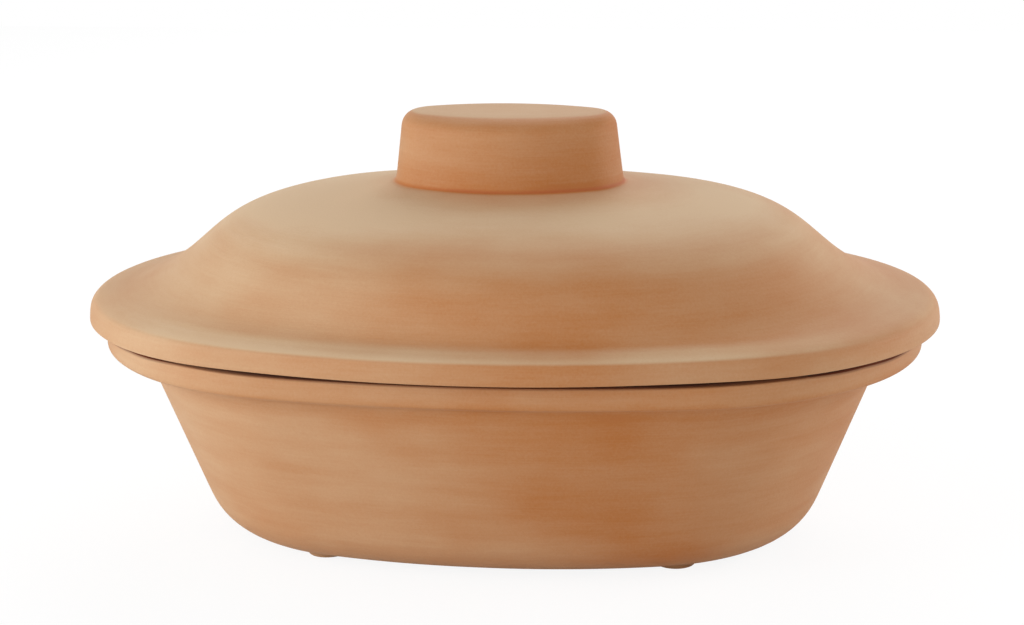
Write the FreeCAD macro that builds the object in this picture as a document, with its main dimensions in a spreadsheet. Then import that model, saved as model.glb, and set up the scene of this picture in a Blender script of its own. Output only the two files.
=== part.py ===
import FreeCAD, Part
import math
import os

import Sketcher
from FreeCAD import Placement, Rotation, Vector

# Oval clay roaster in unglazed earthenware: a tapered dish, and a domed lid that rests
# on its rim. Millimetres. X runs along the roaster, Z is up, and the origin is on the
# table under the middle of the dish.

doc = FreeCAD.newDocument("clay_roaster")
sheet = doc.addObject("Spreadsheet::Sheet", "Sizes")

SIZES = {
    # An oval has a length, a width and an end cut: its end radius is half the width less
    # the end cut, so the ends are round and the sides bow out a little.
    # The dish: its foot pads, its flared wall and the flange round its mouth.
    "dish_height": 96.4,
    "foot_height": 1.2,
    "foot_diameter": 20,
    "foot_draft": 30,
    "foot_spacing_long": 150,
    "foot_spacing_wide": 92,
    "wall_top_length": 323,
    "wall_top_width": 225.4,
    "wall_end_cut": 7.5,
    "wall_draft": 21.7,
    "wall_thickness": 9,
    "floor_thickness": 9,
    "corner_radius": 28.5,
    "inner_corner_radius": 19,
    "flange_overhang_long": 16.3,
    "flange_overhang_wide": 5.1,
    "flange_end_cut": 5.8,
    "flange_height": 11.2,
    "flange_lower_radius": 2.3,
    "rim_chamfer": 1.2,
    # The lid outside: a rim band, then a brim and dome drawn as one Bezier profile that
    # starts at the band and ends at the crown, pulled towards the rings between. Each of
    # those rings lies so far inside the outline of the lid, and so far above the band.
    "lid_overhang_long": 7.2,
    "lid_overhang_wide": 5.8,
    "lid_end_cut": 12.4,
    "band_height": 12.7,
    "band_upper_radius": 6.6,
    "band_lower_chamfer": 1.2,
    "band_shelf": 1,
    "brim_inset_long": 53,
    "brim_inset_wide": 25,
    "brim_end_cut": 7.9,
    "brim_rise": 5.7,
    "shoulder_inset_long": 56.3,
    "shoulder_inset_wide": 9.7,
    "shoulder_end_cut": 6.7,
    "shoulder_rise": 40.7,
    "haunch_inset_long": 61.6,
    "haunch_inset_wide": 46.8,
    "haunch_end_cut": 9.9,
    "haunch_rise": 35.9,
    "crown_cover": 9,
    "crown_end_cut": 5,
    "crown_rise": 48.1,
    # The lid inside, which follows the dome, and the low lip that keeps it in the mouth.
    "lid_wall": 9,
    "inner_foot_inset_long": 13,
    "inner_foot_inset_wide": 6,
    "inner_foot_end_cut": 12,
    "inner_foot_rise": 20,
    "lip_clearance": 2.2,
    "lip_width": 5.5,
    "lip_height": 5,
    "lip_chamfer": 1.2,
    # The hollow knob on the crown, whose foot is sunk a little into the dome.
    "knob_length": 98.8,
    "knob_width": 61.8,
    "knob_end_cut": 6.6,
    "knob_sink": 3,
    "knob_height": 32,
    "knob_draft": 6.6,
    "knob_edge_radius": 7.5,
    "knob_wall": 9,
}
for row, (alias, value) in enumerate(SIZES.items(), start=1):
    sheet.set("A" + str(row), alias)
    sheet.set("B" + str(row), str(value))
    sheet.setAlias("B" + str(row), alias)
doc.recompute()


def moved_in(oval, distance):
    """An oval drawn in by a distance all round, which leaves its end cut as it is."""
    half_length, half_width, end_cut = oval
    drawn_in = " - (" + distance + ")"
    return half_length + drawn_in, half_width + drawn_in, end_cut


# The outlines that the pieces share, each as half its length, half its width and its end
# cut. The lid and its lip are sized from the dish, so they still fit when it changes.
WALL_TOP = ("Sizes.wall_top_length / 2", "Sizes.wall_top_width / 2", "Sizes.wall_end_cut")
FLANGE = (WALL_TOP[0] + " + Sizes.flange_overhang_long",
          WALL_TOP[1] + " + Sizes.flange_overhang_wide", "Sizes.flange_end_cut")
MOUTH = moved_in(WALL_TOP, "Sizes.wall_thickness - Sizes.flange_height * tan(Sizes.wall_draft)")
LID = (FLANGE[0] + " + Sizes.lid_overhang_long",
       FLANGE[1] + " + Sizes.lid_overhang_wide", "Sizes.lid_end_cut")
LIP = moved_in(MOUTH, "Sizes.lip_clearance")
THROAT = moved_in(LIP, "Sizes.lip_width")
KNOB = ("Sizes.knob_length / 2", "Sizes.knob_width / 2", "Sizes.knob_end_cut")

# The levels that they lie at.
FLANGE_BOTTOM = "Sizes.dish_height - Sizes.flange_height"
RIM = "Sizes.dish_height"
BAND_TOP = RIM + " + Sizes.band_height"
KNOB_FOOT = BAND_TOP + " + Sizes.crown_rise - Sizes.knob_sink"

# How a sketch counts the points of an arc, and its own axes.
START_INDEX, END_INDEX, CENTRE_INDEX = range(1, 4)
ORIGIN_INDEX = START_INDEX
X_AXIS_INDEX, Y_AXIS_INDEX = range(-1, -3, -1)

# How many ovals the dome is lofted through, from the band to the crown.
DOME_COUNT = 7

# Edges closer than this to a level are taken to lie on it.
SAME_LEVEL = 0.01


def number(expression):
    """The value of an expression on the sheet's aliases."""
    return float(sheet.evalExpression(expression))


def level_sketch(body, name, height):
    """An empty horizontal sketch of the body, at a height given by an expression."""
    sketch = body.newObject("Sketcher::SketchObject", name)
    ground = next(plane for plane in body.Origin.OriginFeatures if plane.Role == "XY_Plane")
    sketch.AttachmentSupport = [(ground, "")]
    sketch.MapMode = "FlatFace"
    sketch.AttachmentOffset = Placement(Vector(0, 0, number(height)), Rotation())
    sketch.setExpression("AttachmentOffset.Base.z", height)
    return sketch


def drive(sketch, label, rule, parts):
    """Adds a dimension to a sketch and binds it to an expression."""
    index = sketch.addConstraint(Sketcher.Constraint(*parts))
    sketch.renameConstraint(index, label)
    sketch.setExpression("Constraints." + label, rule)


def oval_sketch(body, name, height, oval):
    """A horizontal oval: two end arcs and two side arcs that run smoothly into each other."""
    sketch = level_sketch(body, name, height)
    half_length, half_width, end_cut = oval
    long_half = number(half_length)
    wide_half = number(half_width)
    end = wide_half - number(end_cut)
    reach = long_half - end
    side = (reach ** 2 + wide_half ** 2 - end ** 2) / (2 * (wide_half - end))
    drop = side - wide_half
    turn = math.atan2(drop, reach)
    arcs = [
        (Vector(reach, 0, 0), end, -turn, turn),
        (Vector(0, -drop, 0), side, turn, math.pi - turn),
        (Vector(-reach, 0, 0), end, math.pi - turn, math.pi + turn),
        (Vector(0, drop, 0), side, math.pi + turn, 2 * math.pi - turn),
    ]
    up = Vector(0, 0, 1)
    right, back, left, front = [
        sketch.addGeometry(Part.ArcOfCircle(Part.Circle(centre, up, radius), first, last), False)
        for centre, radius, first, last in arcs
    ]
    middle = sketch.addGeometry(Part.Point(Vector(0, wide_half, 0)), True)
    for arc, following in ((right, back), (back, left), (left, front), (front, right)):
        sketch.addConstraint(Sketcher.Constraint("Tangent", arc, END_INDEX, following, START_INDEX))
    for arc in (right, left):
        sketch.addConstraint(Sketcher.Constraint("PointOnObject", arc, CENTRE_INDEX, X_AXIS_INDEX))
    sketch.addConstraint(Sketcher.Constraint("Equal", back, front))
    sketch.addConstraint(Sketcher.Constraint("PointOnObject", middle, START_INDEX, Y_AXIS_INDEX))
    sketch.addConstraint(Sketcher.Constraint("PointOnObject", middle, START_INDEX, back))
    end_rule = half_width + " - (" + end_cut + ")"
    reach_rule = half_length + " - (" + end_rule + ")"
    origin = (X_AXIS_INDEX, ORIGIN_INDEX)
    drive(sketch, "reach_right", reach_rule, ("DistanceX", *origin, right, CENTRE_INDEX, reach))
    drive(sketch, "reach_left", reach_rule, ("DistanceX", left, CENTRE_INDEX, *origin, reach))
    drive(sketch, "end_right", end_rule, ("Radius", right, end))
    drive(sketch, "end_left", end_rule, ("Radius", left, end))
    drive(sketch, "half_width", half_width, ("DistanceY", *origin, middle, START_INDEX, wide_half))
    return sketch


def extrude(body, kind, name, sketch, length, draft=None, reverse=False):
    """Pads or pockets a sketch by a length, with its sides leaning in where a draft is given."""
    feature = body.newObject("PartDesign::" + kind, name)
    feature.Profile = sketch
    feature.Reversed = reverse
    feature.setExpression("Length", length)
    if draft:
        feature.setExpression("TaperAngle", "-" + draft)
    doc.recompute()
    return feature


def loft(body, kind, name, sketches):
    """A smooth loft through horizontal sketches, added to the body or cut from it."""
    feature = body.newObject("PartDesign::" + kind, name)
    feature.Profile = sketches[0]
    feature.Sections = sketches[1:]
    feature.Ruled = False
    doc.recompute()
    return feature


def edges_at(feature, height):
    """The names of a feature's edges that lie flat at a height."""
    names = []
    for place, edge in enumerate(feature.Shape.Edges, start=1):
        box = edge.BoundBox
        if max(abs(box.ZMin - height), abs(box.ZMax - height)) < SAME_LEVEL:
            names.append("Edge" + str(place))
    return names


def is_outside(edge, oval):
    """Whether the middle of an edge lies outside the ellipse as long and as wide as an oval."""
    point = edge.valueAt((edge.FirstParameter + edge.LastParameter) / 2)
    return (point.x / number(oval[0])) ** 2 + (point.y / number(oval[1])) ** 2 > 1


def soften(body, kind, name, base, size, height, beyond=None):
    """Rounds or bevels the base feature's edges at a height, or those of them beyond an oval."""
    edges = edges_at(base, number(height))
    if beyond:
        edges = [edge for edge in edges if is_outside(base.Shape.getElement(edge), beyond)]
    feature = body.newObject("PartDesign::" + kind, name)
    feature.Base = (base, edges)
    feature.setExpression("Radius" if kind == "Fillet" else "Size", size)
    doc.recompute()
    return feature


def build_dish():
    """The dish: a flared pot with a flange round its mouth and four pads to stand on."""
    body = doc.addObject("PartDesign::Body", "dish")
    body.Label = "dish"

    # The pot, drawn at the underside of the flange and tapered down to its rounded bottom.
    wall_top = oval_sketch(body, "wall_top", FLANGE_BOTTOM, WALL_TOP)
    wall = extrude(body, "Pad", "wall", wall_top, FLANGE_BOTTOM + " - Sizes.foot_height",
                   "Sizes.wall_draft", reverse=True)
    soften(body, "Fillet", "corner", wall, "Sizes.corner_radius", "Sizes.foot_height")

    # The flange is thick and rounded, and reaches out further at the ends, as grips.
    flange_outline = oval_sketch(body, "flange_outline", FLANGE_BOTTOM, FLANGE)
    flange = extrude(body, "Pad", "flange", flange_outline, "Sizes.flange_height")
    midway = tuple("(" + outer + " + " + inner + ") / 2" for outer, inner in zip(FLANGE, WALL_TOP))
    soften(body, "Fillet", "flange_lower_edge", flange, "Sizes.flange_lower_radius",
           FLANGE_BOTTOM, beyond=midway)

    # The inside follows the wall, with a rounded floor corner. Both edges of the rim are
    # bevelled.
    mouth = oval_sketch(body, "mouth", RIM, MOUTH)
    depth = RIM + " - Sizes.foot_height - Sizes.floor_thickness"
    cavity = extrude(body, "Pocket", "cavity", mouth, depth, "Sizes.wall_draft")
    inner_corner = soften(body, "Fillet", "inner_corner", cavity, "Sizes.inner_corner_radius",
                          "Sizes.foot_height + Sizes.floor_thickness")
    soften(body, "Chamfer", "rim_edges", inner_corner, "Sizes.rim_chamfer", RIM)

    # Four low round pads under the bottom.
    pads = level_sketch(body, "foot_circles", "Sizes.foot_height")
    radius = number("Sizes.foot_diameter") / 2
    for side, along in (("right", 1), ("left", -1)):
        for depthwise, across in (("back", 1), ("front", -1)):
            label = side + "_" + depthwise
            centre = Vector(along * number("Sizes.foot_spacing_long") / 2,
                            across * number("Sizes.foot_spacing_wide") / 2, 0)
            circle = pads.addGeometry(Part.Circle(centre, Vector(0, 0, 1), radius), False)
            points = [(X_AXIS_INDEX, ORIGIN_INDEX), (circle, CENTRE_INDEX)]
            from_x = points if along > 0 else points[::-1]
            from_y = points if across > 0 else points[::-1]
            drive(pads, "radius_" + label, "Sizes.foot_diameter / 2", ("Radius", circle, radius))
            drive(pads, "long_" + label, "Sizes.foot_spacing_long / 2",
                  ("DistanceX", *from_x[0], *from_x[1], abs(centre.x)))
            drive(pads, "wide_" + label, "Sizes.foot_spacing_wide / 2",
                  ("DistanceY", *from_y[0], *from_y[1], abs(centre.y)))
    extrude(body, "Pad", "feet", pads, "Sizes.foot_height", "Sizes.foot_draft", reverse=True)
    return body


def profile_weights(share, count):
    """How much each control ring counts at a share of the way along a Bezier profile."""
    last = count - 1
    return [math.comb(last, i) * share ** i * (1 - share) ** (last - i) for i in range(count)]


def profile_sketches(body, name, base_height, rings):
    """The ovals of a Bezier profile, each a weighted mean of the control rings."""
    sketches = []
    for place in range(DOME_COUNT):
        weights = profile_weights(place / (DOME_COUNT - 1), len(rings))
        rules = []
        for column in range(len(rings[0])):
            terms = ["%.6f * (%s)" % (weight, ring[column]) for weight, ring in zip(weights, rings)]
            rules.append(" + ".join(terms))
        *oval, rise = rules
        height = base_height + " + " + rise
        sketches.append(oval_sketch(body, name + "_" + str(place), height, oval))
    return sketches


def build_lid():
    """The lid: a thick rim band, a brim that sweeps up into the dome, and a hollow knob."""
    body = doc.addObject("PartDesign::Body", "lid")
    body.Label = "lid"

    # The rim band stands on the flange of the dish and overhangs it all round.
    outline = oval_sketch(body, "lid_outline", RIM, LID)
    band = extrude(body, "Pad", "band", outline, "Sizes.band_height")
    upper = soften(body, "Fillet", "band_upper_edge", band, "Sizes.band_upper_radius", BAND_TOP)
    soften(body, "Chamfer", "band_lower_edge", upper, "Sizes.band_lower_chamfer", RIM)

    # The rings that pull the brim and the dome into shape. The first lies a hair inside the
    # rounded edge of the band, and the last is hidden in the foot of the knob.
    rings = [(*moved_in(LID, "Sizes.band_upper_radius + Sizes.band_shelf"), "0")]
    for ring in ("brim", "shoulder", "haunch"):
        size = "Sizes." + ring
        rings.append((LID[0] + " - " + size + "_inset_long", LID[1] + " - " + size + "_inset_wide",
                      size + "_end_cut", size + "_rise"))
    crown = moved_in(KNOB, "Sizes.crown_cover")
    rings.append((crown[0], crown[1], "Sizes.crown_end_cut", "Sizes.crown_rise"))
    loft(body, "AdditiveLoft", "dome", profile_sketches(body, "dome", BAND_TOP, rings))

    # The knob leans in a little and has a rounded top edge.
    knob_outline = oval_sketch(body, "knob_outline", KNOB_FOOT, KNOB)
    knob = extrude(body, "Pad", "knob", knob_outline, "Sizes.knob_height", "Sizes.knob_draft")
    soften(body, "Fillet", "knob_edge", knob, "Sizes.knob_edge_radius", KNOB_FOOT + " + Sizes.knob_height")

    # A low lip under the lid leans in like the wall of the dish and keeps the lid in place.
    lip_outline = oval_sketch(body, "lip_outline", RIM, LIP)
    extrude(body, "Pad", "lip", lip_outline, "Sizes.lip_height", "Sizes.wall_draft", reverse=True)

    # The inside is open below and follows the dome at the thickness of the wall.
    throat_outline = oval_sketch(body, "throat_outline", RIM, THROAT)
    throat = extrude(body, "Pocket", "throat", throat_outline, "Sizes.lip_height")
    soften(body, "Chamfer", "lip_edges", throat, "Sizes.lip_chamfer", RIM + " - Sizes.lip_height")
    inner_rings = [(*THROAT, "0"),
                   (THROAT[0] + " - Sizes.inner_foot_inset_long",
                    THROAT[1] + " - Sizes.inner_foot_inset_wide",
                    "Sizes.inner_foot_end_cut", "Sizes.inner_foot_rise")]
    for ring in rings[2:]:
        inner_rings.append((*moved_in(ring[:3], "Sizes.lid_wall"),
                            "Sizes.band_height + " + ring[3] + " - Sizes.lid_wall"))
    loft(body, "SubtractiveLoft", "vault", profile_sketches(body, "vault", RIM, inner_rings))

    # The knob is hollow too, open to the inside of the lid.
    hollow_outline = oval_sketch(body, "hollow_outline", KNOB_FOOT + " - Sizes.lid_wall",
                                 moved_in(KNOB, "Sizes.knob_wall"))
    extrude(body, "Pocket", "hollow", hollow_outline,
            "Sizes.lid_wall + Sizes.knob_height - Sizes.knob_wall", "Sizes.knob_draft", reverse=True)
    return body


bodies = [build_dish(), build_lid()]
doc.recompute()

for item in doc.Objects:
    if "Invalid" in item.State or "Error" in item.State:
        raise RuntimeError("feature did not build: " + item.Name)
for body in bodies:
    if body.Shape.isNull() or not body.Shape.isValid():
        raise RuntimeError("solid is not valid: " + body.Label)

os.makedirs("parts", exist_ok=True)
for body in bodies:
    body.Shape.exportStep(os.path.join("parts", body.Label + ".step"))
    print(body.Label, "solids", len(body.Shape.Solids), "faces", len(body.Shape.Faces),
          "volume", round(body.Shape.Volume / 1000), "cm3", body.Shape.optimalBoundingBox())
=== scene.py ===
import math

import bmesh
import bpy
from mathutils import Euler, Matrix, Vector


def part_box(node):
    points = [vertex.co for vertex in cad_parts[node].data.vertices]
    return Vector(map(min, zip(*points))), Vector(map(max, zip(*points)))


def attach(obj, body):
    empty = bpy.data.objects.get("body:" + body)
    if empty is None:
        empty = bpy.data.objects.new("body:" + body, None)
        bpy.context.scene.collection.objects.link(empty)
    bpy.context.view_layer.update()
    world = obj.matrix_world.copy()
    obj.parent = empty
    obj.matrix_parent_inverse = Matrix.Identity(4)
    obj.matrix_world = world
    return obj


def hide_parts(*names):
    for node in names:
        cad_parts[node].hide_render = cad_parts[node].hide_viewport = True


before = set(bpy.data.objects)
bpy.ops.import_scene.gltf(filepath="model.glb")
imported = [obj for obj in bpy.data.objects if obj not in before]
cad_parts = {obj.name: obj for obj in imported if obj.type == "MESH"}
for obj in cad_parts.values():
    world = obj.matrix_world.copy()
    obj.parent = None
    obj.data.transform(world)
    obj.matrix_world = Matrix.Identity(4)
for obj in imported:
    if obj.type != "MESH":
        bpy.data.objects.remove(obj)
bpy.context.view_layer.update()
bpy.ops.object.select_all(action="DESELECT")

# The dish. One piece of unglazed red clay, pressed in a mould, sponged smooth while it was
# leather-hard and fired once. It stands on four low pads and flares up to a thick flange
# that the lid rests on. All sizes are in metres.
dish_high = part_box("dish")[1]
rim_height = dish_high.z
rim_edge = 0.0009
rim_fall = 0.0005
seat_edge = 0.0068
fall_middle = 0.0035
flange_half = (dish_high.x, dish_high.y)
flange_end_cut = 0.0058
flange_thickness = 0.0112
flange_underside = rim_height - flange_thickness
flange_overhang = (0.0163, 0.0051)
lower_edge = 0.0025
root_fillet = 0.0022
wall_half = (flange_half[0] - flange_overhang[0], flange_half[1] - flange_overhang[1])
wall_end_cut = 0.0075
wall_lean = math.radians(21.7)
wall_thickness = 0.009
foot_height = 0.0012
floor_level = foot_height + 0.009
outer_corner = 0.0285
inner_corner = 0.019
mouth_edge = 0.0022

END_STEPS = 40
SIDE_STEPS = 22
LOOP_POINTS = 2 * (END_STEPS + SIDE_STEPS)


def oval_loop(half_length, half_width, end_cut, height):
    """A closed oval wire: one point, spun clockwise through the four arcs of the oval."""
    end = half_width - end_cut
    reach = half_length - end
    side = (reach ** 2 + half_width ** 2 - end ** 2) / (2 * end_cut)
    drop = side - half_width
    turn = math.atan2(drop, reach)
    start = (reach + end * math.cos(turn), end * math.sin(turn), height)
    arcs = [
        (END_STEPS, 2 * turn, (reach, 0, height)),
        (SIDE_STEPS, math.pi - 2 * turn, (0, drop, height)),
        (END_STEPS, 2 * turn, (-reach, 0, height)),
        (SIDE_STEPS, math.pi - 2 * turn, (0, -drop, height)),
    ]
    bpy.ops.object.select_all(action="DESELECT")
    bpy.ops.mesh.primitive_circle_add(vertices=3, radius=0.001, location=start)
    bpy.ops.object.mode_set(mode="EDIT")
    bpy.ops.mesh.merge(type="CENTER")
    for steps, angle, centre in arcs:
        bpy.ops.mesh.spin(steps=steps, angle=angle, center=centre, axis=(0, 0, 1))
    bpy.ops.mesh.select_all(action="SELECT")
    bpy.ops.mesh.remove_doubles(threshold=0.00001)
    bpy.ops.object.mode_set(mode="OBJECT")
    bpy.ops.object.transform_apply(location=True, rotation=False, scale=False)
    return bpy.context.object


def select_loops(piece, first, last):
    """In edit mode, selects the oval loops of a piece from one number up to another."""
    loops = bmesh.from_edit_mesh(piece.data)
    loops.verts.ensure_lookup_table()
    bpy.ops.mesh.select_all(action="DESELECT")
    for vertex in loops.verts[first * LOOP_POINTS:last * LOOP_POINTS]:
        vertex.select = True
    loops.select_flush(True)
    bmesh.update_edit_mesh(piece.data)


def raise_walls(name, ovals):
    """A closed piece of clay: oval loops, bridged one after the other and capped at both ends."""
    piece = oval_loop(*ovals[0])
    piece.name = name
    piece.data.name = name
    for oval in ovals[1:]:
        oval_loop(*oval)
        piece.select_set(True)
        bpy.context.view_layer.objects.active = piece
        bpy.ops.object.join()
    bpy.ops.object.mode_set(mode="EDIT")
    for place in range(1, len(ovals)):
        select_loops(piece, place - 1, place + 1)
        bpy.ops.mesh.bridge_edge_loops()
    for place in (0, len(ovals) - 1):
        select_loops(piece, place, place + 1)
        bpy.ops.mesh.fill_grid(span=SIDE_STEPS, use_interp_simple=True)
    bpy.ops.mesh.select_all(action="SELECT")
    bpy.ops.mesh.normals_make_consistent(inside=False)
    bpy.ops.object.mode_set(mode="OBJECT")
    return piece


def arc_points(centre_out, centre_height, radius, first, last, steps):
    """Points of a rounded edge, as (how far out, how high), between two angles in degrees."""
    points = []
    for step in range(steps + 1):
        angle = math.radians(first + (last - first) * step / steps)
        out = centre_out + radius * math.cos(angle)
        height = centre_height + radius * math.sin(angle)
        points.append((out, height))
    return points


def line_points(start, end, shares):
    """Points at given shares of the way along a straight wall."""
    return [
        (start[0] + (end[0] - start[0]) * share, start[1] + (end[1] - start[1]) * share)
        for share in shares
    ]


def rings_at(half, end_cut, profile):
    """The ovals of a profile, whose points lie so far out from an oval, and so high."""
    return [(half[0] + out, half[1] + out, end_cut, height) for out, height in profile]


lean = math.tan(wall_lean)
lean_degrees = math.degrees(wall_lean)
wall_foot_in = (flange_underside - foot_height) * lean
inner_foot_in = (rim_height - floor_level) * lean
to_corner = lean - 1 / math.cos(wall_lean)
mouth_half = tuple(half - wall_thickness + flange_thickness * lean for half in wall_half)

# The inside, from the middle of the floor up to the mouth. No flat is dead flat: two loops at
# one level can't be told apart by the bridge, so a crown of a tenth of a millimetre parts them.
crown = 0.0001
inner_centre = -inner_foot_in + inner_corner * to_corner
inside = [
    (inner_centre - inner_corner * step, floor_level - step * crown)
    for step in (1.6, 0.6)
]
inside += arc_points(inner_centre, floor_level + inner_corner, inner_corner, -90, -lean_degrees, 6)
mouth_low = (-mouth_edge * lean, rim_height - mouth_edge)
inside += line_points(inside[-1], mouth_low, (0.18, 0.36, 0.54, 0.72, 0.90))
inside += [(out, rim_height - down) for out, down in ((0.0004, 0.0010), (0.0016, 0.0001))]
dish_rings = rings_at(mouth_half, wall_end_cut, inside)

# The flange, from the flat that carries the lid, over its rounded edges to its underside. Its
# outer part falls away a little, so a dark gap stays open under the lid.
flange_profile = [(-seat_edge, rim_height), (-fall_middle, rim_height - rim_fall / 2)]
flange_profile += arc_points(-rim_edge, rim_height - rim_fall - rim_edge, rim_edge, 75, 0, 3)
flange_profile += [(0, flange_underside + flange_thickness * share) for share in (0.60, 0.42)]
flange_profile += arc_points(-lower_edge, flange_underside + lower_edge, lower_edge, 0, -80, 4)
dish_rings += rings_at(flange_half, flange_end_cut, flange_profile)

# The outside of the pot, from the root of the flange down and round to the bottom.
outside = [
    (root_fillet * 0.9, flange_underside),
    (root_fillet * 0.2, flange_underside - root_fillet * 0.35),
    (-root_fillet * lean, flange_underside - root_fillet),
]
outer_centre = -wall_foot_in + outer_corner * to_corner
corner_height = foot_height + outer_corner
corner = arc_points(outer_centre, corner_height, outer_corner, -lean_degrees, -90, 7)
outside += line_points(outside[-1], corner[0], (0.14, 0.32, 0.50, 0.68, 0.86))
outside += corner
outside += [
    (outer_centre - outer_corner * step, foot_height + step * crown)
    for step in (0.5, 1.1)
]
dish_rings += rings_at(wall_half, wall_end_cut, outside)
dish = raise_walls("roaster_dish", dish_rings)


def finish_form(piece, texture_name, wander):
    """Smooths a piece, then lets its surface drift inwards a little, as hand-finished clay does."""
    bpy.ops.object.select_all(action="DESELECT")
    piece.select_set(True)
    bpy.context.view_layer.objects.active = piece
    smooth = piece.modifiers.new("smooth", "SUBSURF")
    smooth.levels = 1
    smooth.render_levels = 1
    bpy.ops.object.modifier_apply(modifier=smooth.name)
    swell = bpy.data.textures.new(texture_name, "CLOUDS")
    swell.noise_scale = wander
    swell.noise_depth = 1
    uneven = piece.modifiers.new("uneven", "DISPLACE")
    uneven.texture = swell
    uneven.texture_coords = "LOCAL"
    uneven.mid_level = 1
    uneven.strength = 0.0005
    bpy.ops.object.modifier_apply(modifier=uneven.name)
    bpy.ops.object.shade_smooth()


finish_form(dish, "dish_swell", wander=0.070)

# The four pads are part of the same clay, so they are joined to the bottom of the pot.
foot_radius = 0.0088
foot_flare = math.tan(math.radians(30))
foot_spacing = (0.150, 0.092)
foot_sunk = 0.002
pads = []
for along in (-1, 1):
    for across in (-1, 1):
        middle = (along * foot_spacing[0] / 2, across * foot_spacing[1] / 2)
        bpy.ops.mesh.primitive_cone_add(
            vertices=48,
            radius1=foot_radius - foot_height * foot_flare,
            radius2=foot_radius + foot_sunk * foot_flare,
            depth=foot_height + foot_sunk,
            location=(*middle, (foot_height + foot_sunk) / 2),
        )
        pad = bpy.context.object
        softer = pad.modifiers.new("softer", "BEVEL")
        softer.width = 0.0004
        softer.segments = 2
        bpy.ops.object.modifier_apply(modifier=softer.name)
        bpy.ops.object.transform_apply(location=True, rotation=False, scale=False)
        pads.append(pad)
for pad in pads:
    pad.select_set(True)
bpy.ops.object.join()
bpy.ops.object.select_all(action="DESELECT")
dish.select_set(True)
bpy.context.view_layer.objects.active = dish
joined = dish.modifiers.new("pads", "BOOLEAN")
joined.operation = "UNION"
joined.object = pads[-1]
bpy.ops.object.modifier_apply(modifier=joined.name)
bpy.data.objects.remove(pads[-1])
bpy.ops.object.shade_smooth_by_angle(angle=math.radians(50))

# The colours of the fired clay: its body, the pale bloom on it, the deeper body where there is
# no bloom at all, and the dark of a painted shadow under the lid's overhanging edge.
BODY_COLOUR = (0.440, 0.158, 0.038, 1)
BLOOM_COLOUR = (0.625, 0.438, 0.268, 1)
BARE_COLOUR = (0.400, 0.105, 0.024, 1)
SEAM_SHADOW_COLOUR = (0.100, 0.016, 0.000, 1)


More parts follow.
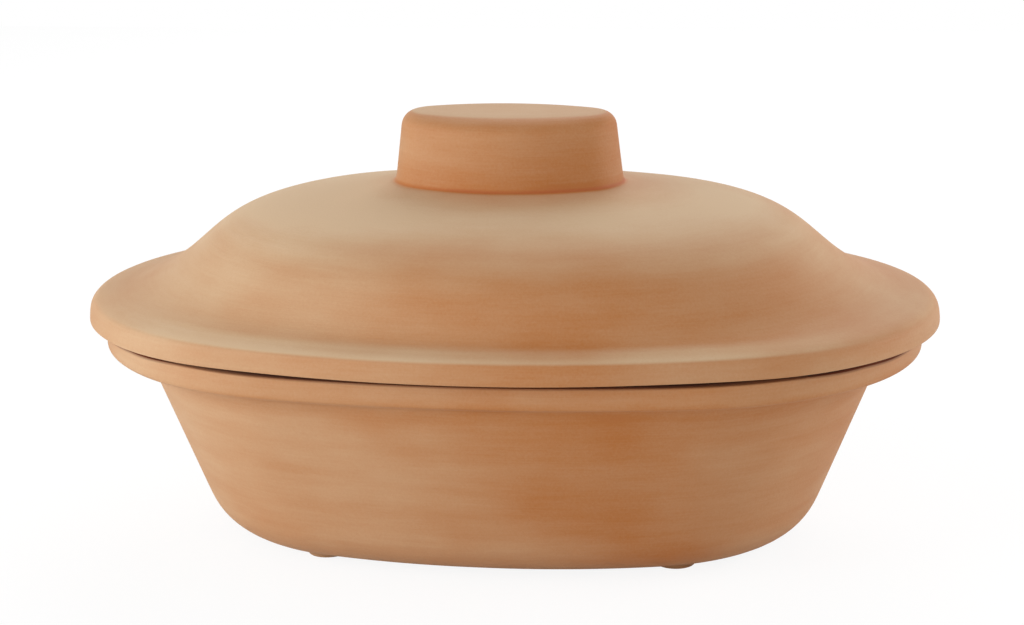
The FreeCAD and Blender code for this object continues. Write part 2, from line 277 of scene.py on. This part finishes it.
def clay_material(name, seed, heights, ends, light_and_bloom_by_side, rim_highlight=None, seam_shadow=None):
    """Fired clay: an orange body under a paler bloom, and deeper where there is none. The bloom
    follows the height, the distance from the middle and the side, and breaks up in soft patches,
    level sponge streaks and fine grit; by side and at some heights it is partly painted light.
    A rim highlight is a pale strip painted along an edge: its shade by height, and how much of it
    is left by distance from the middle. A seam shadow is a painted shadow under the lid's
    overhanging edge: its height, and how far down it shows by distance from the middle, as a
    share of the furthest."""
    material = bpy.data.materials.new(name)
    material.use_nodes = True
    nodes, links = material.node_tree.nodes, material.node_tree.links
    nodes.clear()

    def node(kind, **settings):
        made = nodes.new(kind)
        for key, value in settings.items():
            setattr(made, key, value)
        return made

    def work_out(operation, first, second):
        made = node("ShaderNodeMath", operation=operation)
        for place, value in enumerate((first, second)):
            if isinstance(value, (int, float)):
                made.inputs[place].default_value = value
            else:
                links.new(value, made.inputs[place])
        return made.outputs[0]

    def spread(value, low, high, to_low=0.0, to_high=1.0):
        made = node("ShaderNodeMapRange")
        made.inputs["From Min"].default_value = low
        made.inputs["From Max"].default_value = high
        made.inputs["To Min"].default_value = to_low
        made.inputs["To Max"].default_value = to_high
        links.new(value, made.inputs["Value"])
        return made.outputs["Result"]

    def shade_along(value, stops):
        # A colour ramp holds nothing below zero, so the least shade is taken off and put back.
        low, high = stops[0][0], stops[-1][0]
        least = min(shade for _, shade in stops)
        made = node("ShaderNodeValToRGB")
        made.color_ramp.interpolation = "EASE"
        elements = made.color_ramp.elements
        for _ in stops[2:]:
            elements.new(0.5)
        for element, (place, shade) in zip(elements, stops):
            element.position = (place - low) / (high - low)
            element.color = (shade - least, shade - least, shade - least, 1)
        links.new(spread(value, low, high), made.inputs["Fac"])
        return work_out("ADD", made.outputs["Color"], least)

    def noise(stretch, scale, detail, roughness, shift):
        place = node("ShaderNodeMapping")
        place.inputs["Location"].default_value = (shift, seed, shift * 2)
        place.inputs["Scale"].default_value = stretch
        links.new(coordinates.outputs["Object"], place.inputs["Vector"])
        made = node("ShaderNodeTexNoise")
        made.inputs["Scale"].default_value = scale
        made.inputs["Detail"].default_value = detail
        made.inputs["Roughness"].default_value = roughness
        links.new(place.outputs["Vector"], made.inputs["Vector"])
        return made.outputs["Fac"]

    def blend(under, over, share):
        made = node("ShaderNodeMix", data_type="RGBA")
        made.inputs["B"].default_value = over
        if isinstance(under, tuple):
            made.inputs["A"].default_value = under
        else:
            links.new(under, made.inputs["A"])
        links.new(share, made.inputs["Factor"])
        return made.outputs["Result"]

    coordinates = node("ShaderNodeTexCoord")
    split = node("ShaderNodeSeparateXYZ")
    links.new(coordinates.outputs["Object"], split.inputs["Vector"])
    height = split.outputs["Z"]
    along = work_out("ABSOLUTE", split.outputs["X"], 0.0)

    patches = noise((1, 1, 1.6), scale=11, detail=3, roughness=0.5, shift=3.1)
    streaks = noise((1, 1, 9), scale=14, detail=4, roughness=0.6, shift=7.4)
    brushing = noise((1, 1, 30), scale=42, detail=3, roughness=0.65, shift=1.7)
    grit = noise((1, 1, 1), scale=900, detail=2, roughness=0.7, shift=5.2)

    bloom_and_light = work_out("ADD", shade_along(height, heights), shade_along(along, ends))
    # Partly painted light: the shade by side makes the left paler, where the strongest lamp is, and
    # the right darker.
    bloom_and_light = work_out("ADD", bloom_and_light, shade_along(split.outputs["X"], light_and_bloom_by_side))
    # A painted highlight: a pale strip along the upper edge of the rim band, where it catches the
    # light, fading towards the ends.
    if rim_highlight:
        highlight_by_height, highlight_by_end = rim_highlight
        highlight_strip = shade_along(height, highlight_by_height)
        highlight_strip = work_out("MULTIPLY", highlight_strip, shade_along(along, highlight_by_end))
        bloom_and_light = work_out("ADD", bloom_and_light, highlight_strip)
    for pattern, strength in ((patches, 1.0), (streaks, 0.42), (brushing, 0.15), (grit, 0.22)):
        centred = work_out("SUBTRACT", pattern, 0.5)
        bloom_and_light = work_out("ADD", bloom_and_light, work_out("MULTIPLY", centred, strength))
    bare = spread(bloom_and_light, 0.0, -0.35)
    bloom_and_light = work_out("MAXIMUM", work_out("MINIMUM", bloom_and_light, 1.0), 0.0)
    colour = blend(BODY_COLOUR, BLOOM_COLOUR, bloom_and_light)
    colour = blend(colour, BARE_COLOUR, bare)
    roughness = spread(bloom_and_light, 0, 1, 0.60, 0.80)

    # Painted shadow under the lid's overhanging edge: darkest just below the edge, fading downwards.
    if seam_shadow:
        seam_height, shadow_fall = seam_shadow
        furthest = 0.003
        softness = 0.0014
        lowered = work_out("MULTIPLY", shade_along(along, shadow_fall), furthest)
        closeness = spread(work_out("ADD", height, lowered), seam_height - softness, seam_height)
        depth = shade_along(closeness, [(0.0, 0.0), (0.6, 0.50), (1.0, 1.0)])
        colour = blend(colour, SEAM_SHADOW_COLOUR, depth)
        roughness = work_out("MAXIMUM", roughness, depth)

    surface = node("ShaderNodeBsdfPrincipled")
    surface.inputs["Specular IOR Level"].default_value = 0.3
    surface.inputs["Sheen Weight"].default_value = 0.06
    surface.inputs["Sheen Roughness"].default_value = 0.5
    surface.inputs["Sheen Tint"].default_value = (1.0, 0.93, 0.82, 1)
    links.new(colour, surface.inputs["Base Color"])
    links.new(roughness, surface.inputs["Roughness"])

    relief = work_out("ADD", work_out("MULTIPLY", brushing, 0.3), work_out("MULTIPLY", grit, 0.40))
    relief = work_out("ADD", relief, work_out("MULTIPLY", streaks, 0.6))
    bump = node("ShaderNodeBump")
    bump.inputs["Strength"].default_value = 0.35
    bump.inputs["Distance"].default_value = 0.0006
    links.new(relief, bump.inputs["Height"])
    links.new(bump.outputs["Normal"], surface.inputs["Normal"])

    output = node("ShaderNodeOutputMaterial")
    links.new(surface.outputs["BSDF"], output.inputs["Surface"])
    return material


# The painted shadow under the lid's edge reaches lower down towards the ends, where the lid hangs
# further over.
seam_shadow_fall = [
    (0.0, 0.18), (0.070, 0.15), (0.118, 0.0), (0.150, 0.46), (0.166, 0.80), (0.179, 0.80),
]
dish.data.materials.clear()
dish.data.materials.append(clay_material(
    "dish_clay_fired",
    seed=2.0,
    # By height this is bloom, with a painted shade in the dip just under the flange.
    heights=[
        (0.000, 0.30), (0.030, 0.27), (0.070, 0.24), (0.082, 0.17), (0.086, 0.21), (0.090, 0.34),
        (0.0964, 0.30),
    ],
    ends=[(0.07, 0.0), (0.150, 0.14)],
    # By side the dish is partly painted light: paler on the left, where the strongest lamp is, and
    # darker on the right.
    light_and_bloom_by_side=[(-0.15, 0.06), (-0.07, 0.17), (0.0, 0.05), (0.06, -0.06)],
    seam_shadow=(0.0963, seam_shadow_fall),
))
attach(dish, "root")
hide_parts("dish")

# The lid. One piece of the same clay: a thick rim band that overhangs the flange, a brim that
# sweeps up into the dome, a hollow oval knob to lift it by, and a low lip underneath that
# keeps it in the mouth of the dish.
lid_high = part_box("lid")[1]
lid_half = (lid_high.x, lid_high.y)
lid_end_cut = 0.0124
lid_wall = 0.009
band_height = 0.0127
band_top = rim_height + band_height
band_shelf = 0.0076
band_upper = 0.0022
band_bend = band_top - 0.0041
band_lower = 0.0009
band_round = (0.0094, 0.00845)
band_round_start = band_top - 0.0083
seam_rise = 0.0008
lip_clearance = 0.0022
lip_width = 0.0055
lip_height = 0.005
crease_height = 0.15565
knob_top = lid_high.z
knob_half = (0.0494, 0.0309)
knob_end_cut = 0.0066
knob_slope = math.tan(math.radians(6.6))
knob_wall = 0.009
knob_edge = 0.0070
knob_edge_across = 0.0130

# The control ovals that the brim and dome are drawn from: half length, half width, end cut
# and height, from the rim band to the crown inside the knob.
dome_control = [
    (lid_half[0] - band_shelf, lid_half[1] - band_shelf, lid_end_cut, band_top),
    (lid_half[0] - 0.0530, lid_half[1] - 0.0250, 0.0079, band_top + 0.0057),
    (lid_half[0] - 0.0563, lid_half[1] - 0.0097, 0.0067, band_top + 0.0407),
    (lid_half[0] - 0.0616, lid_half[1] - 0.0468, 0.0099, band_top + 0.0359),
    (knob_half[0] - 0.009, knob_half[1] - 0.009, 0.005, band_top + 0.0481),
]


def along_profile(control, share):
    """The oval at a share of the way along the Bezier profile of the control ovals."""
    last = len(control) - 1
    weights = [math.comb(last, i) * share ** i * (1 - share) ** (last - i) for i in range(last + 1)]
    return tuple(sum(weight * oval[i] for weight, oval in zip(weights, control)) for i in range(4))


# Inside: down the hollow of the knob, along the vault and round the lip to the seat. Each
# level of the hollow is drawn in by its own round edge and by the slope of the knob.
hollow_half = (knob_half[0] - knob_wall, knob_half[1] - knob_wall)
hollow_top = knob_top - knob_wall
hollow_foot = crease_height - 0.0015 - lid_wall
hollow_levels = [
    (0.0100, hollow_top + crown),
    (0.0040, hollow_top),
    (0.0012, hollow_top - 0.0014),
    (0.0, hollow_top - 0.0045),
    (0.0, crease_height + 0.008),
    (0.0, hollow_foot + 0.005),
]
hollow_profile = [
    (-drawn_in - (height - hollow_foot) * knob_slope, height)
    for drawn_in, height in hollow_levels
]
lid_rings = rings_at(hollow_half, knob_end_cut, hollow_profile)

throat_half = tuple(half - lip_clearance - lip_width for half in mouth_half)
vault_control = [
    (*throat_half, wall_end_cut, rim_height),
    (throat_half[0] - 0.013, throat_half[1] - 0.006, 0.012, rim_height + 0.020),
]
for oval in dome_control[2:]:
    vault_control.append((oval[0] - lid_wall, oval[1] - lid_wall, oval[2], oval[3] - lid_wall))
vault_steps = 14
for step in range(vault_steps - 1, 0, -1):
    lid_rings.append(along_profile(vault_control, step / vault_steps))

lip_foot = rim_height - lip_height
lip_out = lip_width - lean * lip_height
lip_profile = [
    (0, rim_height),
    (0, lip_foot + 0.0015),
    (0.0004, lip_foot + 0.0004),
    (0.0015, lip_foot + crown),
    (lip_out - 0.0012, lip_foot),
    (lip_out + 0.0004, lip_foot + 0.0014),
    (lip_width, rim_height - 0.0002),
    (lip_width + 0.0010, rim_height + crown),
]
lid_rings += rings_at(throat_half, wall_end_cut, lip_profile)

# Outside: the seat and the rim band, whose upper edge is crisp along the sides and round at the
# ends, then the brim and dome, and the knob on the crown.
band_profile = [(-0.0135, rim_height), (-0.0080, rim_height + seam_rise * 0.7)]
band_profile += arc_points(-band_lower, rim_height + seam_rise + band_lower, band_lower, -80, 0, 3)
edge_first = len(lid_rings) + len(band_profile)
band_profile += [(0, band_bend - band_upper)]
band_profile += arc_points(-band_upper, band_bend, band_upper, 0, 65, 4)
band_profile += [(-0.0026, band_top - 0.00135), (-0.0046, band_top - 0.00060)]
for out, height in band_profile:
    climb = max(0, height - band_round_start) / band_round[1]
    end_out = min(out, band_round[0] * (math.sqrt(1 - climb ** 2) - 1))
    lid_rings.append((lid_half[0] + end_out, lid_half[1] + out, lid_end_cut, height))
edge_last = len(lid_rings) + 1

dome_shares = [step / 20 for step in range(1, 18)] + [0.895]
lid_rings += [along_profile(dome_control, share) for share in dome_shares]

root_profile = [(0.0038, -0.0005), (0.0015, -0.0002), (0.0004, 0.0003), (0, 0.0012), (-0.0003, 0.0028)]
side_profile = [(-height * knob_slope, height) for height in (0.009, 0.0160, 0.0220)]
lid_rings += [
    (knob_half[0] + out, knob_half[1] + out, knob_end_cut, crease_height + height)
    for out, height in root_profile + side_profile
]
corner_level = knob_top - crease_height - knob_edge
corner_half = [half - corner_level * knob_slope for half in knob_half]
corner_turn = [
    (out / knob_edge, height)
    for out, height in arc_points(-knob_edge, corner_level, knob_edge, 0, 78, 6)
]
corner_turn += [
    (-1 - step / 4, corner_level + knob_edge - crown * (step - 1))
    for step in (1, 2)
]
for turned, height in corner_turn:
    lid_rings.append((
        corner_half[0] + turned * knob_edge,
        corner_half[1] + turned * knob_edge_across,
        knob_end_cut,
        crease_height + height,
    ))
lid = raise_walls("roaster_lid", lid_rings)

# The upper edge of the band was sponged rounder at the front on the left, more so further out.
sponged_front = -0.03
bpy.ops.object.select_all(action="DESELECT")
lid.select_set(True)
bpy.context.view_layer.objects.active = lid
bpy.ops.object.mode_set(mode="EDIT")
for sponged_from in (-0.06, -0.09, -0.12):
    select_loops(lid, edge_first, edge_last)
    clay = bmesh.from_edit_mesh(lid.data)
    for vertex in clay.verts:
        if vertex.select and (vertex.co.x > sponged_from or vertex.co.y > sponged_front):
            vertex.select = False
    clay.select_flush_mode()
    bpy.ops.mesh.vertices_smooth(factor=0.5, repeat=4)
bpy.ops.object.mode_set(mode="OBJECT")
finish_form(lid, "lid_swell", wander=0.080)

lid.data.materials.clear()
lid.data.materials.append(clay_material(
    "lid_clay_fired",
    seed=5.0,
    # By height this is bloom, paler on the crown of the dome and on the flat top of the knob partly as
    # a painted reflection of the white room at a grazing angle.
    heights=[
        (0.0976, 0.17), (0.1058, 0.14), (0.1112, 0.13), (0.1200, 0.14), (0.1320, 0.22),
        (0.1400, 0.39), (0.1500, 0.95), (0.1550, 0.58), (0.1560, -0.30), (0.1576, 0.02),
        (0.1600, 0.09), (0.1750, 0.11), (0.1825, 0.02), (0.1854, 0.04), (0.1858, 0.56),
    ],
    ends=[(0.015, 0.0), (0.08, 0.21), (0.160, 0.38)],
    # By side the lid is partly painted light: paler on the left, where the strongest lamp is, and
    # darker on the right.
    light_and_bloom_by_side=[(-0.15, 0.11), (-0.04, 0.14), (0.0, 0.0), (0.08, -0.16), (0.15, -0.16)],
    # A painted highlight along the upper edge of the band, fading towards the ends.
    rim_highlight=(
        [(0.1058, 0.0), (0.1070, 0.60), (0.1088, 0.42), (0.1112, 0.0)],
        [(0.09, 1.0), (0.165, 0.15)],
    ),
))
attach(lid, "root")
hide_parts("lid")

# The table and the light: a plain white floor that keeps the roaster's shadow, and four large
# soft lamps in an even white room, the strongest of them on the left.
bpy.ops.mesh.primitive_plane_add(size=3.2, location=(0, 0, 0))
table = bpy.context.object
table.name = "table_top"
white = bpy.data.materials.new("table_white")
white.use_nodes = True
tree = white.node_tree
tree.nodes.clear()
matte = tree.nodes.new("ShaderNodeBsdfDiffuse")
matte.inputs["Color"].default_value = (0.88, 0.88, 0.88, 1)
glow = tree.nodes.new("ShaderNodeEmission")
glow.inputs["Strength"].default_value = 1.05
seen = tree.nodes.new("ShaderNodeLightPath")
glow_share = tree.nodes.new("ShaderNodeMath")
glow_share.operation = "MULTIPLY"
glow_share.inputs[1].default_value = 0.85
both = tree.nodes.new("ShaderNodeMixShader")
floor_out = tree.nodes.new("ShaderNodeOutputMaterial")
tree.links.new(seen.outputs["Is Camera Ray"], glow_share.inputs[0])
tree.links.new(glow_share.outputs[0], both.inputs["Fac"])
tree.links.new(matte.outputs["BSDF"], both.inputs[1])
tree.links.new(glow.outputs["Emission"], both.inputs[2])
tree.links.new(both.outputs["Shader"], floor_out.inputs["Surface"])
table.data.materials.append(white)

room = bpy.data.worlds.new("room")
room.use_nodes = True
bpy.context.scene.world = room
room_tree = room.node_tree
sky = room_tree.nodes["Background"]
sky.inputs["Color"].default_value = (1, 1, 1, 1)
seen_sky = room_tree.nodes.new("ShaderNodeLightPath")
shown = room_tree.nodes.new("ShaderNodeMath")
shown.operation = "MAXIMUM"
strength = room_tree.nodes.new("ShaderNodeMapRange")
strength.inputs["To Min"].default_value = 0.44
strength.inputs["To Max"].default_value = 1.0
room_tree.links.new(seen_sky.outputs["Is Camera Ray"], shown.inputs[0])
room_tree.links.new(seen_sky.outputs["Is Glossy Ray"], shown.inputs[1])
room_tree.links.new(shown.outputs[0], strength.inputs["Value"])
room_tree.links.new(strength.outputs["Result"], sky.inputs["Strength"])


def soft_lamp(name, place, aim_height, size, power):
    """A square lamp of soft white light, turned to a point over the middle of the table."""
    bpy.ops.object.light_add(type="AREA", location=place)
    lamp = bpy.context.object
    lamp.name = name
    lamp.data.shape = "SQUARE"
    lamp.data.size = size
    lamp.data.energy = power
    facing = Vector((0, 0, aim_height)) - Vector(place)
    lamp.rotation_euler = facing.to_track_quat("-Z", "Y").to_euler()


soft_lamp("left_lamp", (-1.45, -0.75, 0.45), aim_height=0.08, size=1.0, power=17.5)
soft_lamp("right_lamp", (1.5, 0.45, 0.45), aim_height=0.08, size=1.0, power=12)
soft_lamp("back_lamp", (0.1, 1.4, 1.3), aim_height=0.10, size=1.2, power=11.5)
soft_lamp("front_lamp", (0.1, -1.7, 0.3), aim_height=0.08, size=1.2, power=7)

# The view of the photograph: a long lens a little above the rim, slightly to the right of the
# roaster's short axis and turned a hair about its own line of sight.
view_turn = math.radians(7.35)
view_rise = math.radians(14.11)
view_roll = math.radians(0.637)
view_distance = 1.1196
view_centre = Vector((0, 0, 0.085))
view_shift = (0.00031, 0.01120)
focal_pixels = 2556.8
image_width = 1024
camera_data = bpy.data.cameras.new("view")
camera = bpy.data.objects.new("view", camera_data)
bpy.context.scene.collection.objects.link(camera)
turned_to = Euler((math.pi / 2 - view_rise, 0, view_turn)).to_matrix()
right, up, back = turned_to.col[0], turned_to.col[1], turned_to.col[2]
stand = view_centre + right * view_shift[0] + up * view_shift[1] + back * view_distance
rolled = turned_to @ Matrix.Rotation(-view_roll, 3, "Z")
camera.matrix_world = Matrix.Translation(stand) @ rolled.to_4x4()
camera_data.sensor_width = 36
camera_data.lens = focal_pixels / image_width * camera_data.sensor_width
bpy.context.scene.camera = camera
bpy.context.scene.view_settings.view_transform = "Standard"
